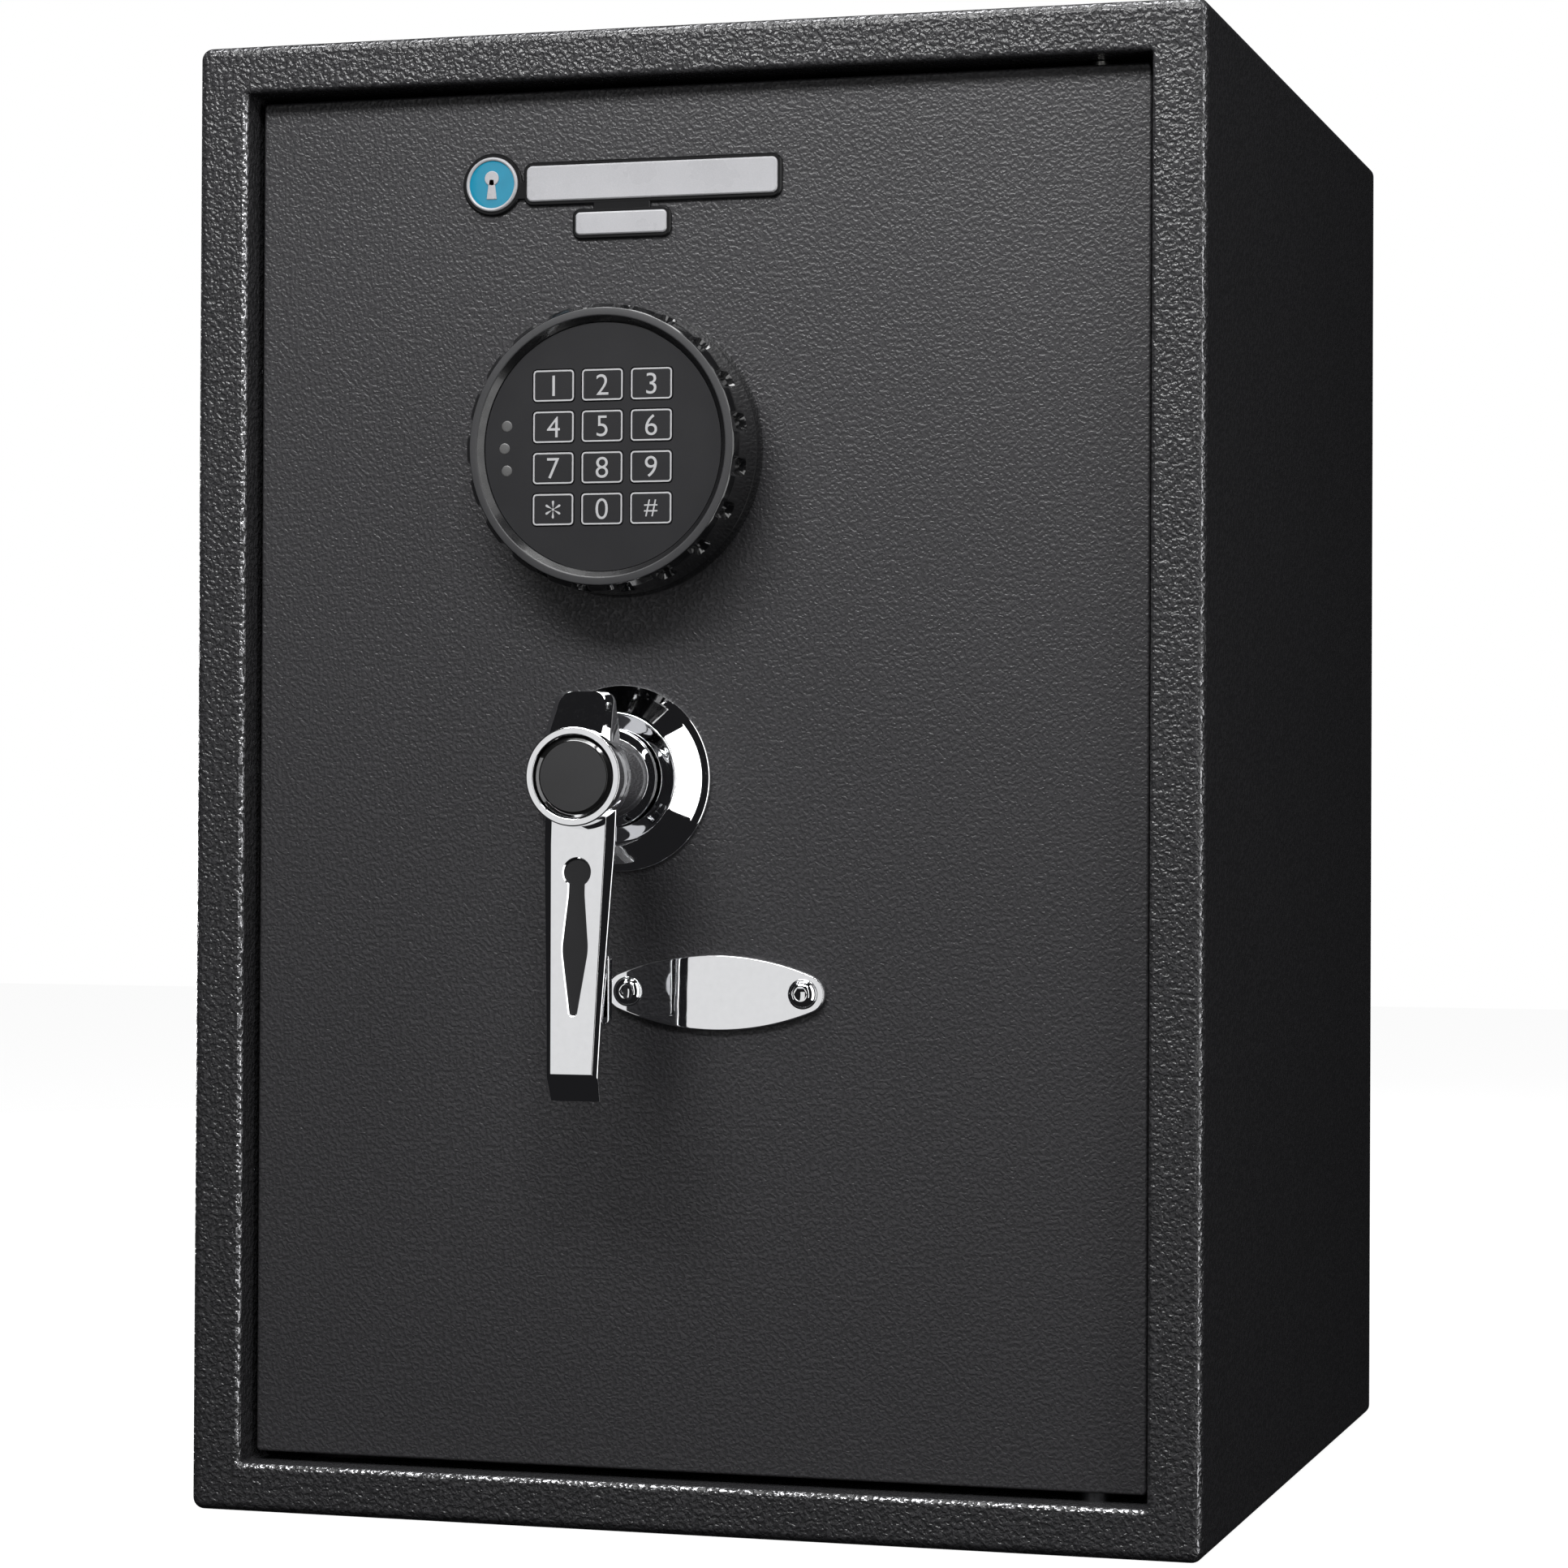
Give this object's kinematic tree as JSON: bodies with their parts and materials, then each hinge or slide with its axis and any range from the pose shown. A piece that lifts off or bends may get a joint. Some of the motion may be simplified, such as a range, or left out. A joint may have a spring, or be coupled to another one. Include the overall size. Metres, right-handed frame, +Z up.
{
  "type": "safe",
  "caption": "Small steel safe with a recessed door on a concealed hinge, round push-button keypad, chrome lever handle, emergency keyhole plate, live bolts and an inner shelf.",
  "frame": {"origin": "centre of the cabinet's underside, on the surface that it stands on", "axes": "+Z up, -Y out of the front of the door, +X to the right as seen from the front"},
  "size_m": [0.35, 0.4004, 0.5],
  "materials": {
    "cabinet_paint": "charcoal hammered powder coat",
    "zinc_steel": "zinc plated",
    "black_steel": "black oxide",
    "brass": "turned",
    "bright_chrome": "mirror polished",
    "nylon": "natural nylon",
    "black_plastic": "fine satin",
    "battery_wrap": "printed sleeve without lettering",
    "circuit_green": "solder mask",
    "coil_copper": "enamelled copper wire",
    "button_red": "gloss",
    "badge_black": "gloss",
    "badge_silver": "satin with a teal enamel roundel",
    "keypad_gloss": "gloss sides, satin front rim",
    "keypad_matte": "fine satin with silver outlines and digits",
    "keypad_rubber": "moulded",
    "lens_grey": "smoked lens",
    "felt": "needle felt"
  },
  "bodies": {
    "cabinet": {"body_wrap": "cabinet_paint", "front_frame": "cabinet_paint", "back_panel": "cabinet_paint", "hinge_brackets": "cabinet_paint", "hinge_bushes": "brass", "shelf_clips": "zinc_steel", "floor_mat": "felt"},
    "shelf": {"shelf": "cabinet_paint"},
    "door": {"door_plate": "cabinet_paint", "door_pan": "cabinet_paint", "door_cover": "cabinet_paint", "cover_screws": "zinc_steel", "hinge_pins": "zinc_steel", "rose": "bright_chrome", "spindle_bush": "brass", "bolt_guides": "nylon", "battery_box": "black_plastic", "batteries": "battery_wrap", "control_board": "circuit_green", "solenoid_frame": "zinc_steel", "solenoid_coil": "coil_copper", "key_cylinder": "brass", "cylinder_nut": "zinc_steel", "keyhole_plate": "bright_chrome", "plate_screws": "bright_chrome", "badge_plate": "badge_black", "badge_emblem": "badge_silver", "keypad_base": "keypad_gloss", "keypad_housing": "keypad_gloss", "keypad_fascia": "keypad_matte", "keypad_mat": "keypad_rubber", "keypad_board": "circuit_green", "status_lenses": "lens_grey", "keypad_screws": "zinc_steel"},
    "battery_lid": {"battery_lid": "black_plastic"},
    "handle": {"lever_handle": "bright_chrome", "handle_cap": "black_plastic", "handle_inlay": "black_plastic", "spindle": "zinc_steel", "handle_cam": "zinc_steel", "spindle_clip": "black_steel"},
    "bolt_carriage": {"bolt_bar": "zinc_steel", "locking_bolts": "bright_chrome", "bolt_screws": "black_steel"},
    "solenoid_plunger": {"solenoid_plunger": "zinc_steel"},
    "reset_button": {"reset_button": "button_red"},
    "key_plug": {"key_plug": "brass", "key_cam": "zinc_steel"},
    "key_1": {"key_1": "keypad_matte"},
    "key_2": {"key_2": "keypad_matte"},
    "key_3": {"key_3": "keypad_matte"},
    "key_4": {"key_4": "keypad_matte"},
    "key_5": {"key_5": "keypad_matte"},
    "key_6": {"key_6": "keypad_matte"},
    "key_7": {"key_7": "keypad_matte"},
    "key_8": {"key_8": "keypad_matte"},
    "key_9": {"key_9": "keypad_matte"},
    "key_star": {"key_star": "keypad_matte"},
    "key_0": {"key_0": "keypad_matte"},
    "key_hash": {"key_hash": "keypad_matte"}
  },
  "joints": [
    {"name": "door_swing", "type": "hinge", "parent": "cabinet", "child": "door", "pos_m": [0.137, -0.1625, 0.25], "axis": [0, 0, 1], "range_deg": [0, 110]},
    {"name": "handle_turn", "type": "hinge", "parent": "door", "child": "handle", "pos_m": [-0.024, -0.19, 0.25], "axis": [0, -1, 0], "range_deg": [0, 90]},
    {"name": "bolt_slide", "type": "slide", "parent": "door", "child": "bolt_carriage", "axis": [-1, 0, 0], "range_m": [0, 0.016]},
    {"name": "plunger_slide", "type": "slide", "parent": "door", "child": "solenoid_plunger", "axis": [0, 0, -1], "range_m": [0, 0.006]},
    {"name": "reset_press", "type": "slide", "parent": "door", "child": "reset_button", "axis": [0, -1, 0], "range_m": [0, 0.002], "stiffness_N_per_m": 400},
    {"name": "key_turn", "type": "hinge", "parent": "door", "child": "key_plug", "pos_m": [0.0095, -0.16, 0.179], "axis": [0, -1, 0], "range_deg": [0, 90]},
    {"name": "battery_lid_slide", "type": "slide", "parent": "door", "child": "battery_lid", "axis": [0, 0, -1], "range_m": [0, 0.02]},
    {"name": "shelf_lift", "type": "slide", "parent": "cabinet", "child": "shelf", "axis": [0, 0, 1], "range_m": [0, 0.03]},
    {"name": "key_1_press", "type": "slide", "parent": "door", "child": "key_1", "axis": [0, 1, 0], "range_m": [0, 0.0008], "stiffness_N_per_m": 500},
    {"name": "key_2_press", "type": "slide", "parent": "door", "child": "key_2", "axis": [0, 1, 0], "range_m": [0, 0.0008], "stiffness_N_per_m": 500},
    {"name": "key_3_press", "type": "slide", "parent": "door", "child": "key_3", "axis": [0, 1, 0], "range_m": [0, 0.0008], "stiffness_N_per_m": 500},
    {"name": "key_4_press", "type": "slide", "parent": "door", "child": "key_4", "axis": [0, 1, 0], "range_m": [0, 0.0008], "stiffness_N_per_m": 500},
    {"name": "key_5_press", "type": "slide", "parent": "door", "child": "key_5", "axis": [0, 1, 0], "range_m": [0, 0.0008], "stiffness_N_per_m": 500},
    {"name": "key_6_press", "type": "slide", "parent": "door", "child": "key_6", "axis": [0, 1, 0], "range_m": [0, 0.0008], "stiffness_N_per_m": 500},
    {"name": "key_7_press", "type": "slide", "parent": "door", "child": "key_7", "axis": [0, 1, 0], "range_m": [0, 0.0008], "stiffness_N_per_m": 500},
    {"name": "key_8_press", "type": "slide", "parent": "door", "child": "key_8", "axis": [0, 1, 0], "range_m": [0, 0.0008], "stiffness_N_per_m": 500},
    {"name": "key_9_press", "type": "slide", "parent": "door", "child": "key_9", "axis": [0, 1, 0], "range_m": [0, 0.0008], "stiffness_N_per_m": 500},
    {"name": "key_star_press", "type": "slide", "parent": "door", "child": "key_star", "axis": [0, 1, 0], "range_m": [0, 0.0008], "stiffness_N_per_m": 500},
    {"name": "key_0_press", "type": "slide", "parent": "door", "child": "key_0", "axis": [0, 1, 0], "range_m": [0, 0.0008], "stiffness_N_per_m": 500},
    {"name": "key_hash_press", "type": "slide", "parent": "door", "child": "key_hash", "axis": [0, 1, 0], "range_m": [0, 0.0008], "stiffness_N_per_m": 500}
  ],
  "couplings": [
    {"joint": "bolt_slide", "follows": "handle_turn", "m_per_rad": 0.010185}
  ]
}
